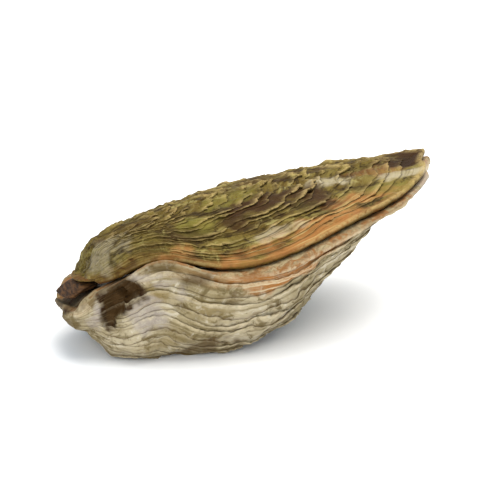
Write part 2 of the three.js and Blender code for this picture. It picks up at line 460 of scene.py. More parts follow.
class Graph:
    """Adds and links the nodes of one material."""

    def __init__(self, name: str) -> None:
        """Start a material with only its shader.

        Args:
            name: The material's name.
        """
        self.material = bpy.data.materials.new(name)
        self.material.use_nodes = True
        self.tree = self.material.node_tree
        self.shader = self.tree.nodes["Principled BSDF"]
        self.place = self.node("ShaderNodeTexCoord").outputs["Object"]

    def node(self, kind: str, **settings: object) -> bpy.types.Node:
        """Add a node and set its properties.

        Args:
            kind: The node's type.
            **settings: Its properties by name.

        Returns:
            The new node.
        """
        made = self.tree.nodes.new(kind)
        for key, value in settings.items():
            setattr(made, key, value)
        return made

    def feed(self, value: object, socket: Socket) -> None:
        """Link a socket to another, or give it a fixed value.

        Args:
            value: A socket, a Pigment or a number.
            socket: The input to feed.
        """
        if isinstance(value, bpy.types.NodeSocket):
            self.tree.links.new(value, socket)
        elif isinstance(value, Pigment):
            socket.default_value = value.linear()
        else:
            socket.default_value = value

    def mark(self, name: str) -> Socket:
        """Read one of the numbers stored on the mesh's points."""
        return self.node("ShaderNodeAttribute", attribute_name=name).outputs["Fac"]

    def lines(self, scale: Triple, detail: float = 3.0, warp: float = 0.0) -> Socket:
        """Add noise that follows the growth of the shell.

        Args:
            scale: How fine it is round the shell, twice, and along its growth.
            detail: How many times finer noise is added.
            warp: How much the noise is distorted.

        Returns:
            The noise, from 0 to 1.
        """
        grain = self.node("ShaderNodeAttribute", attribute_name="grain").outputs["Vector"]
        mapping = self.node("ShaderNodeMapping")
        self.feed(grain, mapping.inputs["Vector"])
        mapping.inputs["Scale"].default_value = scale
        made = self.node("ShaderNodeTexNoise")
        self.feed(mapping.outputs["Vector"], made.inputs["Vector"])
        made.inputs["Scale"].default_value = 1.0
        made.inputs["Detail"].default_value = detail
        made.inputs["Distortion"].default_value = warp
        return made.outputs["Fac"]

    def noise(
        self,
        size: float,
        detail: float = 4.0,
        roughness: float = 0.6,
        warp: float = 0.0,
        stretch: Optional[Triple] = None,
    ) -> Socket:
        """Add noise on the object's own coordinates.

        Args:
            size: Size of the largest patches, in millimetres.
            detail: How many times finer noise is added.
            roughness: How strong the finer noise is.
            warp: How much the noise is distorted.
            stretch: How much each axis is stretched, or None for none.

        Returns:
            The noise, from 0 to 1.
        """
        made = self.node("ShaderNodeTexNoise")
        place = self.place
        if stretch is not None:
            mapping = self.node("ShaderNodeMapping")
            self.feed(place, mapping.inputs["Vector"])
            mapping.inputs["Scale"].default_value = stretch
            place = mapping.outputs["Vector"]
        self.feed(place, made.inputs["Vector"])
        made.inputs["Scale"].default_value = 1 / (size * MM)
        made.inputs["Detail"].default_value = detail
        made.inputs["Roughness"].default_value = roughness
        made.inputs["Distortion"].default_value = warp
        return made.outputs["Fac"]

    def height(self, high: float, low: float) -> Socket:
        """Give 0 above one height over the ground and 1 below another.

        Args:
            high: The upper height, in millimetres.
            low: The lower height, in millimetres.

        Returns:
            The share.
        """
        parts = self.node("ShaderNodeSeparateXYZ")
        self.feed(self.place, parts.inputs[0])
        return self.rise(parts.outputs["Z"], high * MM, low * MM)

    def maths(self, operation: str, first: object, second: object = 0.0, clamp: bool = False) -> Socket:
        """Add a Math node.

        Args:
            operation: The node's operation.
            first: First value or socket.
            second: Second value or socket.
            clamp: Whether the result is kept between 0 and 1.

        Returns:
            The result.
        """
        made = self.node("ShaderNodeMath", operation=operation, use_clamp=clamp)
        self.feed(first, made.inputs[0])
        self.feed(second, made.inputs[1])
        return made.outputs[0]

    def rise(self, value: Socket, low: float, high: float) -> Socket:
        """Map a value to 0 at low and 1 at high, smoothly; low may be above high.

        Args:
            value: The value.
            low: Where the result is 0.
            high: Where the result is 1.

        Returns:
            The mapped value.
        """
        made = self.node("ShaderNodeMapRange", interpolation_type="SMOOTHSTEP")
        self.feed(value, made.inputs["Value"])
        self.feed(low, made.inputs["From Min"])
        self.feed(high, made.inputs["From Max"])
        return made.outputs["Result"]

    def both(self, first: Socket, *others: object) -> Socket:
        """Multiply shares together.

        Args:
            first: The first share.
            *others: The others, as sockets or numbers.

        Returns:
            Their product.
        """
        result = first
        for share in others:
            result = self.maths("MULTIPLY", result, share)
        return result

    def veil(self, noise_field: Socket, veil: Veil) -> Socket:
        """Give how much of a veil's colour lies where the noise has each of its values.

        Args:
            noise_field: The noise that places the veil.
            veil: The veil.

        Returns:
            The share.
        """
        return self.both(self.rise(noise_field, veil.clear, veil.full), veil.strength)

    def blend(self, share: object, first: object, second: object) -> Socket:
        """Mix two colours.

        Args:
            share: How much of the second colour there is.
            first: The first colour.
            second: The second colour.

        Returns:
            The mixed colour.
        """
        made = self.node("ShaderNodeMix", data_type="RGBA")
        self.feed(share, made.inputs["Factor"])
        self.feed(first, made.inputs[6])
        self.feed(second, made.inputs[7])
        return made.outputs[2]

    def relief(self, height: Socket, distance: float, strength: float) -> None:
        """Give the shader a fine relief.

        Args:
            height: The relief's height, from 0 to 1.
            distance: What a height of 1 stands for, in millimetres.
            strength: How much of it is used.
        """
        made = self.node("ShaderNodeBump")
        self.feed(height, made.inputs["Height"])
        made.inputs["Distance"].default_value = distance * MM
        made.inputs["Strength"].default_value = strength
        self.feed(made.outputs["Normal"], self.shader.inputs["Normal"])


@dataclass(frozen=True)
class ShellFinish:
    """The finish of one valve: its ground colours, tints, worn lips, painted shade in its recesses, and its
    pearly inside.
    """

    name: str
    ground: Pigment
    second: Pigment
    deep: Pigment
    fleck: Pigment
    crest: Pigment
    # The recess colour is used for the painted shade in recesses and relief dips, and also for the specks and
    # the ledge's dirt.
    recess: Pigment
    dark: Pigment
    pale: Pigment
    warm: Pigment
    moss: Pigment
    ledge: Pigment
    streaks: float
    # How high above the floor the painted contact shade and grime reach, in millimetres.
    contact_shade_and_grime: float
    pearl: Pigment = Pigment(206, 203, 196)
    pearl_shade: Pigment = Pigment(176, 174, 178)
    muscle: Pigment = Pigment(96, 74, 84)
    muscle_strength: float = 0.8
    roughness: float = 0.6
    roughness_spread: float = 0.4
    pearl_polish: float = 0.35
    specular: float = 0.08
    patch_edge: tuple[float, float] = (0.38, 0.6)
    ray_edge: tuple[float, float] = (0.52, 0.66)
    tone_strength: float = 0.3
    dark_lines: Veil = Veil(0.52, 0.68, 0.7)
    light_lines: Veil = Veil(0.44, 0.32, 0.55)
    dark_blotches: Veil = Veil(0.51, 0.62, 0.9)
    light_blotches: Veil = Veil(0.44, 0.32, 0.75)
    warm_light: Veil = Veil(0.5, 0.64, 0.8)
    warm_rust: Veil = Veil(0.44, 0.34, 0.7)
    moss_bare: Veil = Veil(0.5, 0.62, 0.6)
    pale_flecks: Veil = Veil(0.45, 0.7, 0.5)
    pale_lines: Veil = Veil(0.46, 0.34, 0.55)
    dark_worn: Veil = Veil(0.56, 0.68, 0.3)
    ledge_strength: float = 0.9
    ledge_under_pale: float = 0.7
    ledge_under_dark: float = 0.65
    ledge_dirt: Veil = Veil(0.45, 0.6, 0.6)
    lip_wear: Veil = Veil(0.3, 0.6, 0.7)
    recess_shade: float = 0.65
    relief_dip_shade: Veil = Veil(-0.25, -0.8, 0.6)
    specks: Veil = Veil(0.6, 0.74, 0.55)
    contact_shade_and_grime_strength: float = 0.7
    ridge_share: float = 0.6
    grit_share: float = 0.8
    relief_height: float = 0.34
    relief_strength: float = 0.8

    def dress(self, piece: bpy.types.Object) -> None:
        """Make the finish and put it on a valve.

        Args:
            piece: The valve's object.
        """
        graph = Graph(self.name)
        inside = graph.mark("inside")
        fine = graph.noise(0.9, 5.0, 0.65)
        mottle = graph.noise(3.4, 6.0, 0.66, 0.9)
        pearly = graph.rise(inside, 0.45, 0.85)
        colour = self.tint(graph, self.ground_colour(graph, mottle), mottle, fine)
        colour = self.shade(graph, colour, fine)
        ledge = graph.blend(graph.rise(mottle, 0.42, 0.6), self.ledge, self.second)
        ledge = graph.blend(graph.veil(fine, self.ledge_dirt), ledge, self.recess)
        pale_mark, dark_mark = (graph.mark(tint.value) for tint in (Tint.PALE, Tint.DARK))
        kept = graph.maths("SUBTRACT", self.ledge_strength, graph.both(pale_mark, self.ledge_under_pale))
        kept = graph.maths("SUBTRACT", kept, graph.both(dark_mark, self.ledge_under_dark), clamp=True)
        colour = graph.blend(graph.both(graph.rise(inside, 0.05, 0.2), kept), colour, ledge)
        colour = graph.blend(pearly, colour, self.inner_colour(graph))
        graph.feed(colour, graph.shader.inputs["Base Color"])
        uneven = graph.both(graph.noise(2.2, 3.0), self.roughness_spread)
        rough = graph.maths("ADD", uneven, self.roughness - self.roughness_spread / 2)
        rough = graph.maths("SUBTRACT", rough, graph.both(pearly, self.pearl_polish), clamp=True)
        graph.feed(rough, graph.shader.inputs["Roughness"])
        graph.shader.inputs["Specular IOR Level"].default_value = self.specular
        ridges = graph.both(graph.lines((5.0, 5.0, 150.0), 4.0, 0.4), self.ridge_share)
        grit = graph.both(graph.noise(0.6, 6.0, 0.7), self.grit_share)
        height = graph.both(graph.maths("ADD", ridges, grit), graph.rise(inside, 0.6, 0.25))
        graph.relief(height, self.relief_height, self.relief_strength)
        piece.data.materials.append(graph.material)

    def ground_colour(self, graph: Graph, mottle: Socket) -> Socket:
        """Mix the ground colours in patches, growth lines and rays.

        Args:
            graph: The material's nodes.
            mottle: Blotchy noise.

        Returns:
            The colour.
        """
        patches = graph.noise(12.0, 5.0, 0.62, 0.6)
        colour = graph.blend(graph.rise(patches, *self.patch_edge), self.ground, self.second)
        colour = graph.blend(graph.both(graph.mark("tone"), self.tone_strength), colour, self.second)
        bands = graph.lines((3.0, 3.0, 45.0), 3.0, 0.5)
        colour = graph.blend(graph.veil(bands, self.dark_lines), colour, self.deep)
        colour = graph.blend(graph.veil(bands, self.light_lines), colour, self.fleck)
        rays = graph.lines((7.0, 7.0, 2.6), 4.0, 0.6)
        colour = graph.blend(graph.both(graph.rise(rays, *self.ray_edge), self.streaks), colour, self.deep)
        colour = graph.blend(graph.veil(mottle, self.dark_blotches), colour, self.deep)
        return graph.blend(graph.veil(mottle, self.light_blotches), colour, self.fleck)

    def tint(self, graph: Graph, colour: Socket, mottle: Socket, fine: Socket) -> Socket:
        """Lay the warm, mossy, pale and dark tints over the ground, and the painted contact shade with grime,
        darker towards the floor.

        Args:
            graph: The material's nodes.
            colour: The ground's colour.
            mottle: Blotchy noise.
            fine: Fine noise.

        Returns:
            The tinted colour.
        """
        broken = graph.rise(mottle, 0.25, 0.55)
        whole = graph.maths("ADD", graph.both(broken, 0.4), 0.6)
        lines = graph.lines((4.0, 4.0, 70.0), 4.0, 0.6)
        warm = graph.blend(graph.veil(lines, self.warm_light), self.warm, self.crest)
        warm = graph.blend(graph.veil(lines, self.warm_rust), warm, self.ledge)
        colour = graph.blend(graph.both(graph.mark(Tint.WARM.value), whole), colour, warm)
        moss = graph.blend(graph.veil(lines, self.moss_bare), self.moss, self.second)
        colour = graph.blend(graph.both(graph.mark(Tint.MOSS.value), whole), colour, moss)
        pale = graph.blend(graph.veil(fine, self.pale_flecks), self.pale, self.fleck)
        pale = graph.blend(graph.veil(lines, self.pale_lines), pale, self.second)
        colour = graph.blend(graph.both(graph.mark(Tint.PALE.value), whole), colour, pale)
        murk = graph.blend(graph.veil(lines, self.dark_worn), self.dark, self.second)
        colour = graph.blend(graph.mark(Tint.DARK.value), colour, murk)
        # Painted contact shade, partly grime: the deep colour laid on below a set height above the floor.
        return graph.blend(graph.both(graph.height(self.contact_shade_and_grime, 0.3), self.contact_shade_and_grime_strength), colour, self.deep)

    def shade(self, graph: Graph, colour: Socket, fine: Socket) -> Socket:
        """Lighten the worn lips, and darken the recesses under the lips and the dips of the relief with
        painted shade.

        Args:
            graph: The material's nodes.
            colour: The colour so far.
            fine: Fine noise.

        Returns:
            The shaded colour.
        """
        worn = graph.both(graph.veil(fine, self.lip_wear), graph.mark("crest"))
        colour = graph.blend(worn, colour, self.crest)
        # Painted shade: the recess colour under each shelf's lip and at the foot of the next shelf.
        colour = graph.blend(graph.both(graph.mark("recess"), self.recess_shade), colour, self.recess)
        # Painted shade in the dips of the relief: darker where the relief sinks lowest.
        colour = graph.blend(graph.veil(graph.mark("relief"), self.relief_dip_shade), colour, self.recess)
        return graph.blend(graph.veil(fine, self.specks), colour, self.recess)

    def inner_colour(self, graph: Graph) -> Socket:
        """Mix the pearly inside with its muscle scar.

        Args:
            graph: The material's nodes.

        Returns:
            The colour.
        """
        cloud = graph.noise(9.0, 3.0, 0.5, 1.0)
        pearl = graph.blend(graph.rise(cloud, 0.35, 0.65), self.pearl, self.pearl_shade)
        return graph.blend(graph.both(graph.mark("muscle"), self.muscle_strength), pearl, self.muscle)


UPPER_FINISH = ShellFinish(
    name="olive_shell",
    ground=Pigment(112, 97, 44),
    second=Pigment(90, 72, 26),
    deep=Pigment(46, 33, 8),
    fleck=Pigment(150, 138, 82),
    crest=Pigment(176, 152, 98),
    recess=Pigment(38, 25, 8),
    dark=Pigment(56, 35, 11),
    pale=Pigment(164, 152, 124),
    warm=Pigment(150, 100, 52),
    moss=Pigment(112, 104, 42),
    ledge=Pigment(104, 66, 28),
    streaks=0.75,
    contact_shade_and_grime=0.4,
)
LOWER_FINISH = ShellFinish(
    name="chalky_shell",
    ground=Pigment(176, 163, 134),
    second=Pigment(150, 136, 102),
    deep=Pigment(104, 90, 58),
    fleck=Pigment(198, 188, 166),
    crest=Pigment(204, 188, 154),
    recess=Pigment(82, 60, 32),
    dark=Pigment(48, 29, 9),
    pale=Pigment(158, 147, 135),
    warm=Pigment(150, 95, 40),
    moss=Pigment(122, 104, 62),
    ledge=Pigment(124, 80, 38),
    streaks=0.4,
    contact_shade_and_grime=2.9,
)


@dataclass(frozen=True)
class LigamentFinish:
    """The finish of the ligament: two browns in fine, flat layers."""

    name: str = "ligament_brown"
    dark: Pigment = Pigment(38, 23, 9)
    light: Pigment = Pigment(82, 54, 26)
    layer_size: float = 0.8
    layer_stretch: Triple = (0.4, 0.4, 3.0)
    roughness: float = 0.7
    specular: float = 0.15

    def dress(self, piece: bpy.types.Object) -> None:
        """Make the finish and put it on the ligament.

        Args:
            piece: The ligament's object.
        """
        graph = Graph(self.name)
        layers = graph.noise(self.layer_size, 3.0, stretch=self.layer_stretch)
        colour = graph.blend(graph.rise(layers, 0.35, 0.65), self.dark, self.light)
        graph.feed(colour, graph.shader.inputs["Base Color"])
        graph.shader.inputs["Roughness"].default_value = self.roughness
        graph.shader.inputs["Specular IOR Level"].default_value = self.specular
        graph.relief(layers, 0.3, 0.9)
        piece.data.materials.append(graph.material)


# How high, as a share of the step, and how far out, as a share of the jut, the rings under a lip lie.
UNDER_LIP = ((0.72, 1.12), (0.34, 0.86), (0.08, 0.1))


@dataclass(frozen=True)
class EdgeWander:
    """How a shelf's edge wanders, in shares of the valve's section, and how its step comes and goes."""

    shared_size: float = 0.5
    own_size: float = 0.33
    chip_size: float = 0.07
    drift: float = 0.31
    shared: float = 0.024
    own: float = 0.030
    chip: float = 0.006
    bite: float = 0.03
    bite_from: float = 0.3
    deepest_bite: float = 0.5
    apart: float = 0.009
    middling: float = 0.6
    own_step: float = 1.4
    shared_step: float = 0.8
    chip_step: float = 0.45
    highest_step: float = 1.45


@dataclass(frozen=True)
class OuterRelief:
    """The sizes and heights of the outside's lumps, plates, folds, pits and grain, in millimetres."""

    lump_size: float = 14.0
    grain_size: float = 2.4
    grain_height: float = 0.22
    plate_size: float = 6.5
    plate_squash: float = 1.4
    plate_steps: int = 6
    plate_height: float = 0.3
    fold_count: int = 11
    fold_waver: float = 4.5
    pit_size: float = 1.7
    pit_depth: float = 0.34
    edge_calm: float = 0.75


@dataclass(frozen=True)
class Frill:
    """Where round the valve its edge flares out, as the turn, the spread and the strength of each flare."""

    flares: tuple[Triple, ...] = ((0.26, 0.14, 1.0), (0.78, 0.09, 0.8), (0.59, 0.12, 1.25))
    most: float = 1.3

    def flare(self, turn: Field) -> Field:
        """Give how much of its overhang the edge has at shares of a turn."""
        flares = sum(strength * bump(turn, at, spread) for at, spread, strength in self.flares)
        return np.minimum(flares, self.most)


@dataclass
class Valve:
    """One valve of the shell as a closed mesh: a shelved outside, an edge, a meeting face and a hollow."""

    name: str
    node: str
    body: str
    slot: str
    side: int
    back: float
    front: float
    width: float
    beak: tuple[float, float]
    beak_height: float
    bulge: Bulge
    hollow: tuple[float, float, float]
    hollow_middle: tuple[float, float]
    wall: float
    shelves: tuple[Shelf, ...]
    strokes: tuple[Stroke, ...]
    stains: tuple[Stain, ...]
    band: Band
    muscle: tuple[float, float]
    seed: float
    lump_height: float
    fold_height: float
    overhang: float
    finish: ShellFinish
    sag: float = 0.0
    scar_wall: float = 2.4
    muscle_size: tuple[float, float] = (8.5, 6.0)
    plan: ShellPlan = field(default_factory=ShellPlan)
    wander: EdgeWander = field(default_factory=EdgeWander)
    outer: OuterRelief = field(default_factory=OuterRelief)
    edge: Frill = field(default_factory=Frill)
    around: int = 380
    ring_step: float = 0.0082
    least_rings: int = 5
    lip_curl: float = 2.2
    lip_rings: int = 4
    rim_rings: int = 14
    hollow_rings: int = 40

    def rings(self) -> list[Ring]:
        """List the rings from the beak to the middle of the hollow, both of which are poles.

        Returns:
            The rings in order.
        """
        rings: list[Ring] = []
        start = 0.0
        for number, shelf in enumerate(self.shelves):
            count = max(self.least_rings, round((shelf.at - start) / self.ring_step))
            first = 0 if number == 0 else 1
            for i in range(first, count + 1):
                share = i / count
                rings.append(Ring(Zone.OUTSIDE, share, number, share**self.lip_curl, lean_out(share)))
            if number + 1 < len(self.shelves):
                rings += [Ring(Zone.OUTSIDE, 1.0, number, lift, slide) for lift, slide in UNDER_LIP]
            start = shelf.at
        rings += [Ring(Zone.LIP, (i + 1) / (self.lip_rings + 1)) for i in range(self.lip_rings)]
        rings += [Ring(Zone.RIM, i / self.rim_rings) for i in range(self.rim_rings)]
        rings += [Ring(Zone.HOLLOW, 1 - i / self.hollow_rings) for i in range(self.hollow_rings + 1)]
        return rings

    def off_seam(self, x: Field, y: Field, distance: Field) -> Field:
        """Give points that stand off the seam on the valve's own side.

        Args:
            x: Distances along the shell.
            y: Distances across it.
            distance: Distances off the seam.

        Returns:
            The points, the last axis being x, y and z.
        """
        x, y, distance = np.broadcast_arrays(x, y, distance)
        gap = self.plan.gap if self.side > 0 else 0.0
        return np.stack((x, y, self.plan.seam(x, y) + gap + self.side * distance), axis=-1)

    def edge_from_beak(self, turn: Field) -> tuple[Field, Field]:
        """Give the plan outline measured from the beak.

        Args:
            turn: Shares of a turn round the outline.

        Returns:
            The x and y distances from the beak.
        """
        x, y = self.plan.outline(self.back, self.front, self.width, turn)
        return x - self.beak[0], y - self.beak[1]

    def stand_off(self, reach: Field, angle: Field) -> Field:
        """Give how far the smooth outside stands off the seam.

        Args:
            reach: Shares of the way from the beak to the edge, seen in plan.
            angle: Directions from the beak, 0 being towards the bill.

        Returns:
            The distances in millimetres.
        """
        beak = self.beak_height * (1 - reach) ** 1.3
        return self.plan.lip + beak + self.bulge.stand_off(reach, angle)

    def smooth_outside(self, reach: Field, turn: Field) -> Field:
        """Give points of the outside before any shelf or roughness.

        Args:
            reach: Shares of the way from the beak to the edge, seen in plan.
            turn: Shares of a turn.

        Returns:
            The points, the last axis being x, y and z.
        """
        dx, dy = self.edge_from_beak(turn)
        distance = self.stand_off(reach, np.arctan2(dy, dx))
        return self.off_seam(self.beak[0] + reach * dx, self.beak[1] + reach * dy, distance)

    def section_lengths(self, turn: Field) -> tuple[Field, Field]:
        """Measure the outside's sections from the beak to the edge.

        Args:
            turn: The turn of each mesh column.

        Returns:
            A run of reaches, and the length of each column's section up to each of them, in millimetres.
        """
        samples, edge_crowding = 500, 2.4
        reach = 1 - np.linspace(1.0, 0.0, samples) ** edge_crowding
        points = self.smooth_outside(reach[:, None], turn[None, :])
        pieces = np.linalg.norm(np.diff(points, axis=0), axis=-1)
        return reach, np.vstack((np.zeros_like(turn)[None, :], np.cumsum(pieces, axis=0)))

    def shelf_edges(self, turn: Field) -> tuple[Field, Field]:
        """Work out each shelf's wavy edge and uneven step round the shell.

        Args:
            turn: Shares of a turn, one per mesh column.

        Returns:
            The growth value of each edge and the strength of each step, with one row per shelf.
        """
        circle = np.stack((np.cos(turn * TURN), np.sin(turn * TURN), np.zeros_like(turn)), axis=-1)
        wander = self.wander
        shared = rough_field(circle, wander.shared_size, 3, self.seed)
        edges, strengths = [], []
        for number, shelf in enumerate(self.shelves):
            lifted = circle + np.array((0.0, 0.0, wander.drift * number))
            own = rough_field(lifted, wander.own_size, 3, self.seed + 3.1)
            chips = rough_field(lifted, wander.chip_size, 2, self.seed + 7.7)
            ends = min(1.0, 5 * (1 - shelf.at)) * min(1.0, 6 * shelf.at)
            wave = wander.shared * shared + wander.own * own + wander.chip * chips
            wave -= wander.bite * np.clip(own + chips - wander.bite_from, 0.0, wander.deepest_bite)
            edges.append(shelf.at + wave * ends)
            strength = wander.middling + wander.own_step * own - wander.shared_step * shared
            strengths.append(np.clip(strength + wander.chip_step * chips, 0.0, wander.highest_step))
        ordered = np.array(edges)
        for number in range(len(edges) - 2, -1, -1):
            ordered[number] = np.minimum(ordered[number], ordered[number + 1] - wander.apart)
        return ordered, np.array(strengths)

    def hollow_floor(self, share: Field, turn: Field) -> Field:
        """Give points of the hollow, which keeps the wall's thickness under the smooth outside.

        Args:
            share: 1 at the hollow's edge and 0 in its middle.
            turn: Shares of a turn.

        Returns:
            The points, the last axis being x, y and z.
        """
        ex, ey = self.plan.outline(*self.hollow, turn, uneven=0.0)
        x = self.hollow_middle[0] + share * (ex - self.hollow_middle[0])
        y = self.hollow_middle[1] + share * (ey - self.hollow_middle[1])
        reach, steepest, brim = 0.5, 2.0, 6
        here = self.stand_off_at(x, y)
        slope_x = (self.stand_off_at(x + reach, y) - self.stand_off_at(x - reach, y)) / (2 * reach)
        slope_y = (self.stand_off_at(x, y + reach) - self.stand_off_at(x, y - reach)) / (2 * reach)
        wall = self.wall * np.minimum(np.sqrt(1 + slope_x**2 + slope_y**2), steepest)
        return self.off_seam(x, y, np.maximum(here - wall, 0.0) * (1 - share**brim))

    def stand_off_at(self, x: Field, y: Field) -> Field:
        """Give how far the smooth outside stands off the seam above points of the plan.

        Args:
            x: Distances along the shell.
            y: Distances across it.

        Returns:
            The distances in millimetres.
        """
        angle = np.arctan2(y - self.beak[1], x - self.beak[0])
        low, high = np.zeros_like(angle), np.ones_like(angle)
        halvings = 22
        for _ in range(halvings):
            middle = (low + high) / 2
            dx, dy = self.edge_from_beak(middle)
            before = np.arctan2(dy, dx) > angle
            low, high = np.where(before, middle, low), np.where(before, high, middle)
        dx, dy = self.edge_from_beak(low)
        reach = np.hypot(x - self.beak[0], y - self.beak[1]) / np.hypot(dx, dy)
        return self.stand_off(np.minimum(reach, 1.0), angle)

    def frill(self, turn: Field) -> Field:
        """Give how far the edge flares out beyond its plan outline, in millimetres, at shares of a turn."""
        return self.overhang * self.edge.flare(turn)

    def meeting_face(self, share: Field, turn: Field) -> Field:
        """Give points of the face that meets the other valve, with the ligament's pit sunk into it.

        Args:
            share: 0 at the valve's edge and 1 at the hollow's edge.
            turn: Shares of a turn.

        Returns:
            The points, the last axis being x, y and z.
        """
        outer_x, outer_y = self.plan.outline(self.back, self.front, self.width, turn)
        inner_x, inner_y = self.plan.outline(*self.hollow, turn, uneven=0.0)
        dx, dy = self.edge_from_beak(turn)
        flare = self.frill(turn) * (1 - smoothstep(share, 0.0, 0.4)) / np.hypot(dx, dy)
        x = outer_x + share * (inner_x - outer_x) + flare * dx
        y = outer_y + share * (inner_y - outer_y) + flare * dy
        wear, wear_size, deepest = 0.2, 2.2, 0.4
        worn = wear * (rough_field(self.off_seam(x, y, 0.0), wear_size, 3, self.seed + 41.0) + 0.5)
        ledge = np.clip(worn, 0.0, deepest) * (1 - smoothstep(share, 0.25, 0.7))
        return self.off_seam(x, y, LigamentPit().depth_at(x, y) + ledge)

    def relief(self, points: Field, growth: Field, angle: Field) -> Field:
        """Work out the roughness of the outside: lumps, flaking plates, radial folds, pits and strokes.

        Args:
            points: Points of the smooth outside.
            growth: Shares of the way along their sections.
            angle: Their directions from the beak.

        Returns:
            How far each point is lifted, in millimetres.
        """
        outer = self.outer
        still = 1 - outer.edge_calm * smoothstep(growth, 0.95, 1.0)
        lumps = self.lump_height * rough_field(points, outer.lump_size, 3, self.seed + 11.0)
        lumps = lumps * smoothstep(growth, 0.0, 0.2)
        grain = outer.grain_height * rough_field(points, outer.grain_size, 4, self.seed + 17.0, 0.7)
        squashed = points * np.array((1.0, 1.0, outer.plate_squash))
        plates = rough_field(squashed, outer.plate_size, 3, self.seed + 23.0)
        steps = np.floor(plates * outer.plate_steps) / outer.plate_steps
        folds = np.sin(outer.fold_count * angle + outer.fold_waver * plates)
        folded = self.fold_height * folds * smoothstep(growth, 0.15, 0.6)
        holes = rough_field(points, outer.pit_size, 2, self.seed + 29.0)
        pits = -outer.pit_depth * smoothstep(holes, 0.3, 0.45) * smoothstep(plates, -0.1, 0.25)
        pressed = sum(stroke.lift(points) for stroke in self.strokes)
        return still * (lumps + outer.plate_height * steps + folded + pits + grain) + pressed

    def build(self) -> bpy.types.Object:
        """Model the valve, store on its points what its finish reads, and dress it.

        Returns:
            The valve's object.
        """
        rings = self.rings()
        mesh = bmesh.new()
        bmesh.ops.create_uvsphere(mesh, u_segments=self.around, v_segments=len(rings) - 1, radius=1.0)
        turn = np.arange(self.around) / self.around
        points, marks = self.section_grid(rings, turn)
        placed = self.rest_on_scar(self.plan.to_row(points))
        numbers = {key: mesh.verts.layers.float.new(key) for key in marks if marks[key].ndim == 2}
        vectors = {key: mesh.verts.layers.float_vector.new(key) for key in marks if marks[key].ndim == 3}
        for vert in mesh.verts:
            row = round(math.acos(max(-1.0, min(1.0, vert.co.z))) / math.pi * (len(rings) - 1))
            azimuth = math.atan2(vert.co.y, vert.co.x) / TURN * -self.side
            column = round(azimuth * self.around) % self.around
            vert.co = placed[row, column]
            for key, layer in (numbers | vectors).items():
                vert[layer] = marks[key][row, column]
        piece = new_piece(self.name, mesh)
        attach(piece, self.body)
        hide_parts(self.node)
        self.finish.dress(piece)
        return piece

    def rest_on_scar(self, placed: Field) -> Field:
        """Press the belly flat where it rests, leaving the scar slightly rough.

        Args:
            placed: Points in the row's frame, in metres.

        Returns:
            The points, none of them below the ground.
        """
        grit_size, grit_height = 1.9, 0.3
        sunk = np.maximum(-placed[..., 2], 0.0) / MM
        rough = 0.5 + rough_field(placed / MM, grit_size, 3, self.seed + 53.0)
        pressed = placed.copy()
        pressed[..., 2] = np.maximum(placed[..., 2], 0.0)
        pressed[..., 2] += grit_height * MM * np.clip(rough, 0.0, 1.0) * smoothstep(sunk, 0.15, 0.8)
        return pressed

    def section_grid(self, rings: Sequence[Ring], turn: Field) -> tuple[Field, dict[str, Field]]:
        """Work out every point of the valve, and its marks for the finish.

        Args:
            rings: The mesh's rings.
            turn: The turn of each mesh column.

        Returns:
            The points, with one row per ring and one column per turn, and the marks by name.
        """
        edges, strengths = self.shelf_edges(turn)
        none = np.zeros((1, self.around))
        feet = np.vstack((none, edges[:-1]))
        before = np.vstack((none, strengths[:-1]))
        outer = [ring for ring in rings if ring.zone is Zone.OUTSIDE]
        shelf = np.array([ring.shelf for ring in outer])
        share = np.array([ring.share for ring in outer])[:, None]
        lift = np.array([ring.lift for ring in outer])[:, None]
        slide = np.array([ring.slide for ring in outer])[:, None]
        step = np.array([self.shelves[i].step for i in shelf])[:, None]
        jut = np.array([self.shelves[i].jut for i in shelf])[:, None]
        growth = feet[shelf] * (1 - share) + edges[shelf] * share
        grid_turn = np.broadcast_to(turn, growth.shape)
        reaches, lengths = self.section_lengths(turn)
        total = lengths[-1]

        def place(at: Field, sideways: float) -> Field:
            """Give points of the smooth outside.

            Args:
                at: Shares of the sections' lengths.
                sideways: How far round the valve the points are moved, in turns.

            Returns:
                The points, the last axis being x, y and z.
            """
            columns = [np.interp(at[:, i] * total[i], lengths[:, i], reaches) for i in range(self.around)]
            return self.smooth_outside(np.stack(columns, axis=1), grid_turn + sideways)

        tiny = 0.0015
        base = place(growth, 0.0)
        outward = place(np.minimum(growth + tiny, 1.0), 0.0) - place(np.maximum(growth - tiny, 0.0), 0.0)
        normal = np.cross(place(growth, tiny) - place(growth, -tiny), outward) * self.side
        normal[0] = (0.0, 0.0, self.side)
        normal = unit(normal)
        outward = unit(outward)
        dx, dy = self.edge_from_beak(grid_turn)
        angle = np.arctan2(dy, dx)
        room = (edges[shelf] - feet[shelf]) * total
        middling_room, crowded, roomy = 2.6, 0.12, 1.25
        crowding = np.clip(room / middling_room, crowded, roomy)
        scale = strengths[shelf] * crowding * (0.6 + 0.4 * total / total.max())
        above = smoothstep(self.plan.to_row(base)[..., 2] / MM, 0.3, 2.0)
        rough = self.relief(base, growth, angle)
        raised = lift * step * scale + rough
        frill = self.frill(grid_turn) * smoothstep(growth, 0.9, 1.0)
        overhang = slide * jut * scale * smoothstep(growth, 0.02, 0.12) * above
        bill_calm, bill_at, bill_spread = 0.6, 0.5, 0.06
        overhang *= 1 - bill_calm * bump(grid_turn, bill_at, bill_spread)
        outside = base + normal * raised[..., None] + outward * overhang[..., None]
        outside += unit(np.stack((dx, dy, np.zeros_like(dx)), axis=-1)) * frill[..., None]
        outside[0] = outside[0].mean(axis=0)
        ragged = rough_field(base, 6.0, 4, self.seed + 61.0, 0.7)
        margin = (1 - growth) * total
        crest = smoothstep(share, 0.7, 1.0) * np.clip(scale * step / 0.5, 0.0, 1.0)
        foot = (1 - smoothstep(share, 0.0, 0.3)) * np.clip(before[shelf], 0.0, 1.0)
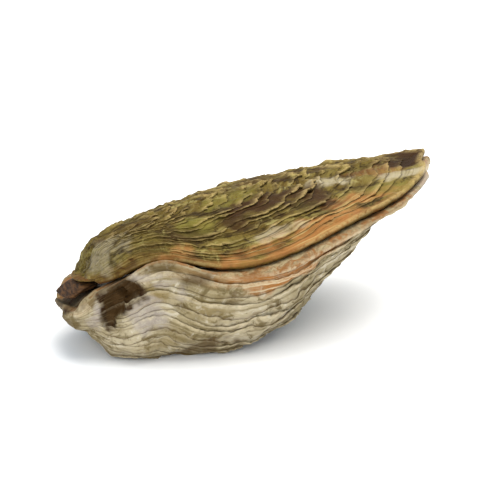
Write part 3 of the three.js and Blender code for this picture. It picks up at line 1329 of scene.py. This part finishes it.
        tone = 0.5 + 0.5 * np.sin(12.9 * shelf + 3 * self.seed)[:, None] * np.ones_like(growth)
        marks = {
            "crest": crest * (lift > 0.5),
            # Where painted shade falls: under each lip and at the foot of the shelf after it.
            "recess": np.clip(foot + (1 - lift) * (share >= 1), 0.0, 1.0),
            "relief": rough,
            "tone": tone,
            "grain": np.stack((np.cos(angle), np.sin(angle), growth), axis=-1),
        }
        for tint in Tint:
            cover = [stain.cover(base, ragged) for stain in self.stains if stain.tint is tint]
            marks[tint.value] = np.clip(sum(cover, np.zeros_like(growth)), 0.0, 1.0)
        banded = self.band.cover(margin, grid_turn, ragged)
        marks[Tint.WARM.value] = np.maximum(marks[Tint.WARM.value], banded)
        return self.join_inside(outside, marks, rings, turn)

    def join_inside(
        self, outside: Field, marks: dict[str, Field], rings: Sequence[Ring], turn: Field
    ) -> tuple[Field, dict[str, Field]]:
        """Add the lip, the meeting face and the hollow to the outside's points.

        Args:
            outside: The outside's points.
            marks: The outside's marks by name.
            rings: All of the mesh's rings.
            turn: The turn of each mesh column.

        Returns:
            All the points and all the marks.
        """
        columns = turn[None, :]
        rim_share = np.array([ring.share for ring in rings if ring.zone is Zone.RIM])[:, None]
        hollow_share = np.array([ring.share for ring in rings if ring.zone is Zone.HOLLOW])[:, None]
        lip = np.array([ring.share for ring in rings if ring.zone is Zone.LIP])[:, None]
        faces = self.meeting_face(rim_share, columns)
        hollow = self.hollow_floor(hollow_share * np.ones_like(columns), columns * np.ones_like(hollow_share))
        hollow[-1] = hollow[-1].mean(axis=0)
        edge = outside[-1:]
        away = edge - faces[1:2]
        away[..., 2] = 0.0
        blend = lip[..., None]
        roundness = 0.3
        lips = edge * (1 - blend) + faces[:1] * blend + unit(away) * roundness * np.sin(math.pi * blend)
        points = np.concatenate((outside, lips, faces, self.over_the_scar(hollow)))
        points = self.droop(points)
        added = len(lips) + len(faces) + len(hollow)
        at_edge = 0.25
        on_rim = at_edge + (1 - at_edge) * smoothstep(rim_share, 0.45, 0.8)
        inside = np.concatenate((at_edge * lip, on_rim, np.ones_like(hollow_share)))
        along, across = hollow[..., 0] - self.muscle[0], hollow[..., 1] - self.muscle[1]
        muscle = np.hypot(along / self.muscle_size[0], across / self.muscle_size[1])
        dent, dent_at, dent_spread = 0.35, -6.0, 3.5
        muscle += dent * bump(along, dent_at, dent_spread)
        joined = {}
        for key, values in marks.items():
            last = values[-1:]
            joined[key] = np.concatenate((values, np.repeat(last, added, axis=0)))
        still = np.zeros((len(outside), self.around))
        joined["inside"] = np.concatenate((still, inside * np.ones_like(columns)))
        joined["muscle"] = np.zeros_like(joined["inside"])
        joined["muscle"][-len(hollow):] = 1 - smoothstep(muscle, 0.85, 1.0)
        return points, joined

    def droop(self, points: Field) -> Field:
        """Let the hinge end of the valve's edge slope down and away.

        Args:
            points: Points of the valve in the shell's frame.

        Returns:
            The points, lowered behind the hinge.
        """
        below = self.plan.seam(points[..., 0], points[..., 1]) - points[..., 2]
        lowered = points.copy()
        behind = smoothstep(-points[..., 0], -2.0, 3.6)
        near_edge = 1 - smoothstep(below, 0.8, 6.0)
        lowered[..., 2] -= self.sag * behind * near_edge
        return lowered

    def over_the_scar(self, hollow: Field) -> Field:
        """Keep the wall whole where the belly is cut flat by the attachment scar.

        Args:
            hollow: Points of the hollow in the shell's frame.

        Returns:
            The points, lifted where the wall would be thinner than it should be.
        """
        height = self.plan.to_row(hollow)[..., 2] / MM
        short = np.maximum(self.scar_wall - height, 0.0)
        up = np.array(self.plan.rest_turn())[2]
        return hollow + short[..., None] * up


def lean_out(share: float, level: float = 0.6, curl: float = 1.6) -> float:
    """Give how far a shelf's top leans outward near its lip, as a share of the lip's jut.

    Args:
        share: The place on the shelf's top, from 0 at its foot to 1 at its lip.
        level: How much of the top doesn't lean.
        curl: How late the rest leans out.

    Returns:
        The share of the jut.
    """
    return max(0.0, (share - level) / (1 - level)) ** curl


def new_piece(name: str, mesh: bmesh.types.BMesh) -> bpy.types.Object:
    """Turn a finished bmesh into an object at the origin.

    Args:
        name: The object's name.
        mesh: The finished bmesh, which is smoothed and freed.

    Returns:
        The new object, linked to the scene.
    """
    for face in mesh.faces:
        face.smooth = True
    data = bpy.data.meshes.new(name)
    mesh.to_mesh(data)
    mesh.free()
    piece = bpy.data.objects.new(name, data)
    bpy.context.scene.collection.objects.link(piece)
    return piece


@dataclass(frozen=True)
class LigamentPit:
    """The pit between the hinge plates that holds the ligament."""

    x: float = 1.2
    y: float = 0.0
    half_length: float = 4.8
    half_width: float = 6.8
    depth: float = 1.35
    slope: float = 1.2

    def depth_at(self, x: Field, y: Field) -> Field:
        """Give the pit's depth at points of the hinge plate.

        Args:
            x: Distances along the shell.
            y: Distances across it.

        Returns:
            The depths in millimetres.
        """
        along = smoothstep(self.half_length - np.abs(x - self.x), 0.0, self.slope)
        across = smoothstep(self.half_width - np.abs(y - self.y), 0.0, self.slope)
        return self.depth * along * across


@dataclass
class Ligament:
    """The dark, layered, rubbery block that joins the hinge plates."""

    plan: ShellPlan = field(default_factory=ShellPlan)
    length: float = 7.6
    back_shift: float = -0.8
    width_back: float = 10.4
    width_front: float = 7.0
    thick: float = 1.8
    thinning: float = 0.4
    layer_height: float = 0.1
    layer_count: float = 8.0
    fray_height: float = 0.3
    cuts: int = 15
    seed: float = 4.0
    finish: LigamentFinish = field(default_factory=LigamentFinish)

    def build(self) -> bpy.types.Object:
        """Model the ligament from a finely cut cube and dress it.

        Returns:
            The ligament's object.
        """
        mesh = bmesh.new()
        bmesh.ops.create_cube(mesh, size=1.0)
        edges = list(mesh.edges)
        bmesh.ops.subdivide_edges(mesh, edges=edges, cuts=self.cuts, use_grid_fill=True)
        self.shape(mesh)
        smoothed = dict(factor=0.5, use_axis_x=True, use_axis_y=True, use_axis_z=True)
        bmesh.ops.smooth_vert(mesh, verts=mesh.verts, **smoothed)
        for vert in mesh.verts:
            vert.co = self.plan.to_row(np.array(vert.co))
        piece = new_piece("ligament_block", mesh)
        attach(piece, "lower")
        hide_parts("ligament")
        self.finish.dress(piece)
        return piece

    def shape(self, mesh: bmesh.types.BMesh) -> None:
        """Round the cube, spread it over the pit and fray its layers, with its back end lying low.

        Args:
            mesh: The cube, 1 mm wide and centred.
        """
        pit = LigamentPit()
        for vert in mesh.verts:
            reach = (abs(vert.co.x) ** 4 + abs(vert.co.y) ** 4 + abs(vert.co.z) ** 3) ** 0.25
            along, across, up = vert.co * max(map(abs, vert.co)) / reach * 2
            width = self.width_back + (self.width_front - self.width_back) * (along + 1) / 2
            waver = 2.0 * noise.noise(Vector((along, across, self.seed)))
            layer = self.layer_height * math.sin(self.layer_count * up + waver)
            fray = self.fray_height * noise.noise(Vector((3 * along, 3 * across, 3 * up + self.seed)))
            ragged = min(layer + fray, self.layer_height)
            x = pit.x + self.back_shift + along * (self.length / 2 + ragged)
            y = pit.y + across * (width / 2 + ragged)
            behind = float(smoothstep(np.array(-x), -0.5, 3.4))
            z = self.plan.gap / 2 + up * self.thick / 2 * (1 - self.thinning * behind) - behind
            vert.co = (x, y, z)


@dataclass(frozen=True)
class Panel:
    """A square panel of light that faces the shell."""

    name: str
    place: Triple
    size: float
    energy: float
    colour: Triple = (1.0, 0.95, 0.88)

    def hang(self) -> None:
        """Hang the panel in the scene."""
        light = bpy.data.lights.new(self.name, "AREA")
        light.size = self.size
        light.energy = self.energy
        light.color = self.colour
        lamp = bpy.data.objects.new(self.name, light)
        lamp.location = self.place
        lamp.rotation_euler = lamp.location.to_track_quat("Z", "Y").to_euler()
        bpy.context.scene.collection.objects.link(lamp)


@dataclass(frozen=True)
class Studio:
    """A pale floor, soft overhead light and the camera."""

    azimuth: float = math.radians(-23)
    elevation: float = math.radians(20)
    lens: float = 200.0
    sensor: float = 36.0
    view_width: float = 0.103
    clip_start: float = 0.01
    floor_size: float = 6.0
    floor_colour: tuple[float, ...] = (0.92, 0.92, 0.92, 1.0)
    floor_roughness: float = 0.9
    floor_specular: float = 0.1
    surround: tuple[float, ...] = (0.74, 0.86, 1.0, 1.0)
    surround_strength: float = 0.8
    panels: tuple[Panel, ...] = (
        Panel("overhead_panel", (0.17, 0.03, 0.6), 0.7, 7.0),
        Panel("front_panel", (-0.42, -0.55, 0.3), 0.5, 2.6),
    )

    def build(self) -> None:
        """Set up the floor, the light and the camera."""
        self.lay_floor()
        self.light()
        self.aim_camera()

    def lay_floor(self) -> None:
        """Lay a large pale floor under the shell."""
        mesh = bmesh.new()
        bmesh.ops.create_grid(mesh, x_segments=1, y_segments=1, size=self.floor_size / 2)
        floor = new_piece("studio_floor", mesh)
        graph = Graph("studio_white")
        graph.shader.inputs["Base Color"].default_value = self.floor_colour
        graph.shader.inputs["Roughness"].default_value = self.floor_roughness
        graph.shader.inputs["Specular IOR Level"].default_value = self.floor_specular
        floor.data.materials.append(graph.material)

    def light(self) -> None:
        """Light the shell with its panels and an even, faintly blue surround."""
        world = bpy.data.worlds.new("studio")
        world.use_nodes = True
        background = world.node_tree.nodes["Background"]
        background.inputs["Color"].default_value = self.surround
        background.inputs["Strength"].default_value = self.surround_strength
        bpy.context.scene.world = world
        for panel in self.panels:
            panel.hang()

    def aim_camera(self) -> None:
        """Place the camera so that the shell fills about three quarters of the frame's width."""
        lowest, highest = (Vector(corner) for corner in CAD_BOX)
        target = (lowest + highest) / 2
        level, rise = math.cos(self.elevation), math.sin(self.elevation)
        back = Vector((math.sin(self.azimuth) * level, -math.cos(self.azimuth) * level, rise))
        data = bpy.data.cameras.new("camera")
        data.lens = self.lens
        data.sensor_width = self.sensor
        data.clip_start = self.clip_start
        camera = bpy.data.objects.new("camera", data)
        camera.location = target + back * (self.view_width * self.lens / self.sensor)
        camera.rotation_euler = back.to_track_quat("Z", "Y").to_euler()
        bpy.context.scene.collection.objects.link(camera)
        bpy.context.scene.camera = camera
        bpy.context.scene.view_settings.view_transform = "Standard"


def upper_valve() -> Valve:
    """Describe the upper valve, a shallow lid with a raised umbo.

    Returns:
        The valve, not yet built.
    """
    return Valve(
        name="upper_valve_shell",
        node="upper_valve",
        body="upper",
        slot="upper_shell",
        side=1,
        back=0.5,
        front=80.5,
        width=44.5,
        beak=(5.0, 0.3),
        beak_height=4.2,
        bulge=Bulge(5.0, 0.62, 0.7, 1.1, 0.7, 0.0),
        hollow=(12.0, 74.0, 36.0),
        hollow_middle=(38.0, 0.0),
        wall=2.4,
        shelves=shelf_run(19, 0.44, 0.38),
        strokes=(
            Stroke((22.0, -14.0, 7.0), (13.0, 5.0, 6.0), -0.5),
            Stroke((50.0, -15.0, 4.0), (15.0, 4.0, 4.0), -0.6),
        ),
        stains=(
            Stain(Tint.DARK, (13.5, 1.0, 8.5), (12.0, 3.5, 4.0), 0.55),
            Stain(Tint.DARK, (31.0, -12.9, 6.5), (4.5, 3.0, 3.0), 0.75),
            Stain(Tint.DARK, (37.0, -9.5, 7.2), (6.5, 3.5, 3.5), 0.7),
            Stain(Tint.DARK, (46.0, -8.4, 7.0), (11.5, 6.0, 5.0), 0.95),
            Stain(Tint.DARK, (49.0, 7.0, 8.0), (16.0, 5.0, 6.0), 0.75),
            Stain(Tint.DARK, (17.0, -13.0, 6.8), (9.0, 2.6, 3.0), 0.5),
            Stain(Tint.DARK, (84.0, 0.0, 1.8), (5.0, 4.0, 2.6), 1.0),
            Stain(Tint.DARK, (78.5, 1.0, 4.6), (10.0, 9.0, 6.0), 1.0),
            Stain(Tint.PALE, (57.0, -4.6, 6.4), (7.5, 3.8, 3.5), 0.95),
            Stain(Tint.PALE, (5.5, -4.0, 6.6), (8.0, 7.0, 6.0), 0.6),
            Stain(Tint.PALE, (37.5, -18.4, 3.6), (8.0, 1.8, 2.0), 0.7),
            Stain(Tint.MOSS, (24.0, -11.0, 7.5), (7.0, 4.0, 4.0), 0.7),
            Stain(Tint.MOSS, (36.0, -2.0, 9.0), (9.0, 5.0, 4.0), 0.6),
            Stain(Tint.MOSS, (64.0, -13.0, 4.2), (7.0, 3.0, 2.4), 0.6),
            Stain(Tint.WARM, (19.0, -17.0, 5.2), (8.0, 2.4, 2.0), 0.7),
            Stain(Tint.WARM, (30.0, -20.2, 1.8), (13.0, 2.8, 2.2), 0.9),
            Stain(Tint.WARM, (46.3, -19.5, 3.0), (12.0, 3.4, 2.4), 0.95),
            Stain(Tint.WARM, (58.5, -14.6, 4.5), (9.0, 3.6, 2.6), 0.9),
            Stain(Tint.DARK, (67.5, -2.0, 5.3), (8.0, 5.0, 4.0), 0.4),
            Stain(Tint.WARM, (68.0, -3.0, 5.2), (9.0, 5.0, 4.0), 0.5),
            Stain(Tint.PALE, (71.5, -8.0, 4.2), (8.0, 3.4, 2.2), 0.9),
        ),
        band=Band(3.4, 0.74, 0.07, 0.2),
        muscle=(48.0, 4.0),
        seed=2.0,
        lump_height=0.75,
        fold_height=0.16,
        overhang=0.85,
        finish=UPPER_FINISH,
    )


def lower_valve() -> Valve:
    """Describe the lower valve, a deep cup with a knob at its beak and a notch beside it.

    Returns:
        The valve, not yet built.
    """
    return Valve(
        name="lower_valve_shell",
        node="lower_valve",
        body="lower",
        slot="lower_shell",
        side=-1,
        back=-4.0,
        front=82.0,
        width=48.0,
        beak=(2.5, 0.0),
        beak_height=7.0,
        bulge=Bulge(15.0, 1.5, 0.5, 1.95, 0.6, -0.16),
        hollow=(10.0, 76.0, 38.0),
        hollow_middle=(36.0, 0.0),
        wall=2.8,
        shelves=shelf_run(17, 0.44, 0.42),
        strokes=(
            Stroke((-2.4, -5.4, -3.2), (5.6, 5.8, 5.4), 2.1, 0.25),
            Stroke((5.4, -14.0, 0.1), (3.6, 4.0, 2.5), -3.4, 0.5),
            Stroke((3.3, -12.0, -2.4), (2.8, 3.4, 3.0), -3.2, 0.45),
            Stroke((2.3, -10.6, -5.4), (1.5, 2.6, 2.4), -1.8, 0.3),
            Stroke((9.6, -17.0, 2.7), (4.5, 3.5, 1.3), 0.7, 0.2),
            Stroke((12.6, -18.0, 0.9), (3.0, 3.2, 1.8), 0.8, 0.2),
            Stroke((15.2, -18.6, -2.4), (2.6, 3.0, 3.0), 0.7, 0.2),
            Stroke((17.0, -18.6, -5.8), (2.4, 3.0, 3.0), 0.5, 0.2),
            Stroke((37.0, -22.4, -3.4), (9.5, 5.0, 2.2), 0.5, 0.3),
        ),
        stains=(
            # The three notch stains: the notch's dark brown, partly its own colour and partly painted shade
            # in its hollow.
            Stain(Tint.DARK, (5.4, -14.0, 0.1), (4.2, 4.6, 2.9), 1.0),
            Stain(Tint.DARK, (3.2, -11.9, -2.5), (3.1, 3.8, 3.5), 1.0),
            Stain(Tint.DARK, (2.3, -10.6, -5.6), (1.8, 2.8, 2.9), 0.95),
            # These two: dark brown along the seam at the hinge end, partly the hinge's own colour and partly
            # painted shade between the valves.
            Stain(Tint.DARK, (-2.8, -2.6, 0.2), (7.5, 12.0, 2.2), 0.9),
            Stain(Tint.DARK, (2.2, -9.6, 0.2), (3.4, 4.0, 2.4), 0.95),
            Stain(Tint.MOSS, (-4.0, -5.4, -3.0), (4.2, 5.0, 3.6), 0.9),
            Stain(Tint.PALE, (78.0, -4.0, -0.4), (7.0, 4.0, 1.8), 1.0),
            Stain(Tint.DARK, (-3.4, -3.8, -3.6), (4.6, 5.0, 4.4), 0.4),
            Stain(Tint.DARK, (13.5, -18.6, 4.3), (8.0, 4.0, 1.7), 0.5),
            Stain(Tint.DARK, (18.8, -20.6, -0.4), (4.5, 3.0, 1.5), 0.55),
            Stain(Tint.PALE, (0.8, -9.3, -2.6), (1.1, 1.9, 2.8), 0.95),
            Stain(Tint.PALE, (0.1, -8.2, -5.6), (1.5, 2.2, 2.4), 0.8),
            Stain(Tint.PALE, (8.4, -15.4, -5.6), (4.4, 3.8, 4.2), 0.9),
            Stain(Tint.PALE, (9.6, -17.0, 2.5), (5.0, 3.6, 0.9), 0.8),
            Stain(Tint.PALE, (12.8, -18.2, 0.7), (2.6, 2.8, 1.1), 0.75),
            Stain(Tint.PALE, (15.4, -18.6, -2.6), (1.6, 2.6, 2.4), 0.6),
            Stain(Tint.PALE, (73.0, -6.0, 0.5), (14.0, 11.0, 3.2), 0.85),
            Stain(Tint.MOSS, (10.6, -16.8, -1.2), (3.6, 3.2, 2.4), 0.95),
            Stain(Tint.MOSS, (13.5, -18.6, 3.9), (7.0, 4.0, 1.6), 0.7),
            Stain(Tint.MOSS, (21.0, -19.0, -6.6), (6.0, 4.0, 3.4), 0.55),
            Stain(Tint.MOSS, (12.0, -13.0, -12.5), (9.0, 6.0, 2.6), 0.5),
            Stain(Tint.MOSS, (52.0, -21.0, -2.0), (8.0, 4.0, 3.0), 0.6),
            Stain(Tint.WARM, (37.5, -22.4, -2.5), (9.0, 4.5, 2.5), 1.0),
            Stain(Tint.WARM, (26.5, -22.4, -1.6), (9.0, 4.0, 1.7), 0.85),
        ),
        band=Band(4.4, 0.745, 0.06, 0.12),
        muscle=(46.0, 3.0),
        seed=9.0,
        lump_height=1.2,
        fold_height=0.12,
        overhang=0.15,
        finish=LOWER_FINISH,
        sag=2.0,
    )


def report(piece: bpy.types.Object) -> None:
    """Log a finished piece's name and how many faces it has."""
    LOG.info("%s: %d faces", piece.name, len(piece.data.polygons))


def main() -> None:
    """Build the oyster and its studio, and report each piece."""
    logging.basicConfig(level=logging.INFO, format="%(message)s")
    for part in (lower_valve(), upper_valve(), Ligament()):
        report(part.build())
    Studio().build()


if __name__ == "__main__":
    main()
